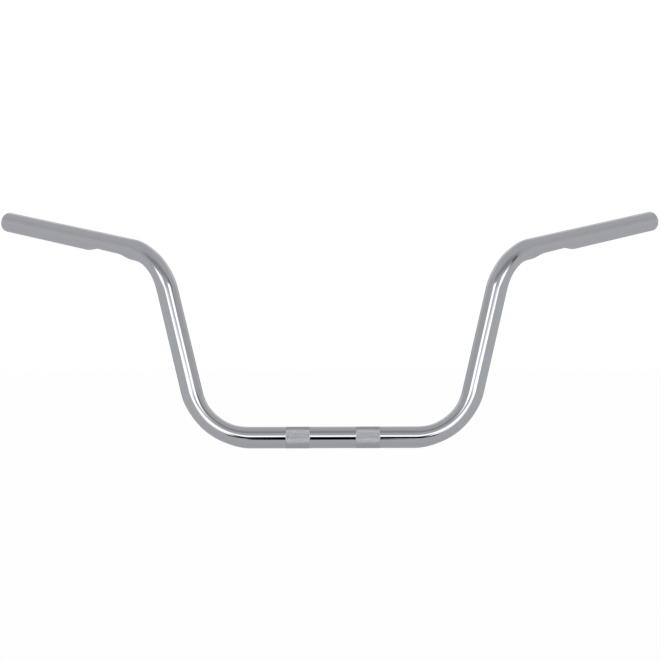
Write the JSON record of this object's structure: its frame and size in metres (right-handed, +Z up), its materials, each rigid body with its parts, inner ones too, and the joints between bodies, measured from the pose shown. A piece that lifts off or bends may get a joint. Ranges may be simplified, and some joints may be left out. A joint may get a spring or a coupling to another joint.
{
  "type": "motorcycle handlebar",
  "caption": "Chromed steel tube handlebar with tall risers, swept-back grip ends, knurled clamp bands and dimples for switch wires.",
  "frame": {"origin": "on the tube's axis, midway between the two knurled clamp bands", "axes": "+X along the clamped stretch to the rider's left, +Y back towards the rider, +Z up"},
  "size_m": [0.8712, 0.2484, 0.2954],
  "materials": {
    "tube": "polished",
    "knurl": "knurled"
  },
  "bodies": {
    "root": {"centre_run": "tube", "left_knurled_band": "knurl", "left_clamp_run": "tube", "left_lower_bend": "tube", "left_riser": "tube", "left_upper_bend": "tube", "left_dimpled_run": "tube", "left_grip_end": "tube", "right_knurled_band": "knurl", "right_clamp_run": "tube", "right_lower_bend": "tube", "right_riser": "tube", "right_upper_bend": "tube", "right_dimpled_run": "tube", "right_grip_end": "tube"}
  },
  "joints": []
}
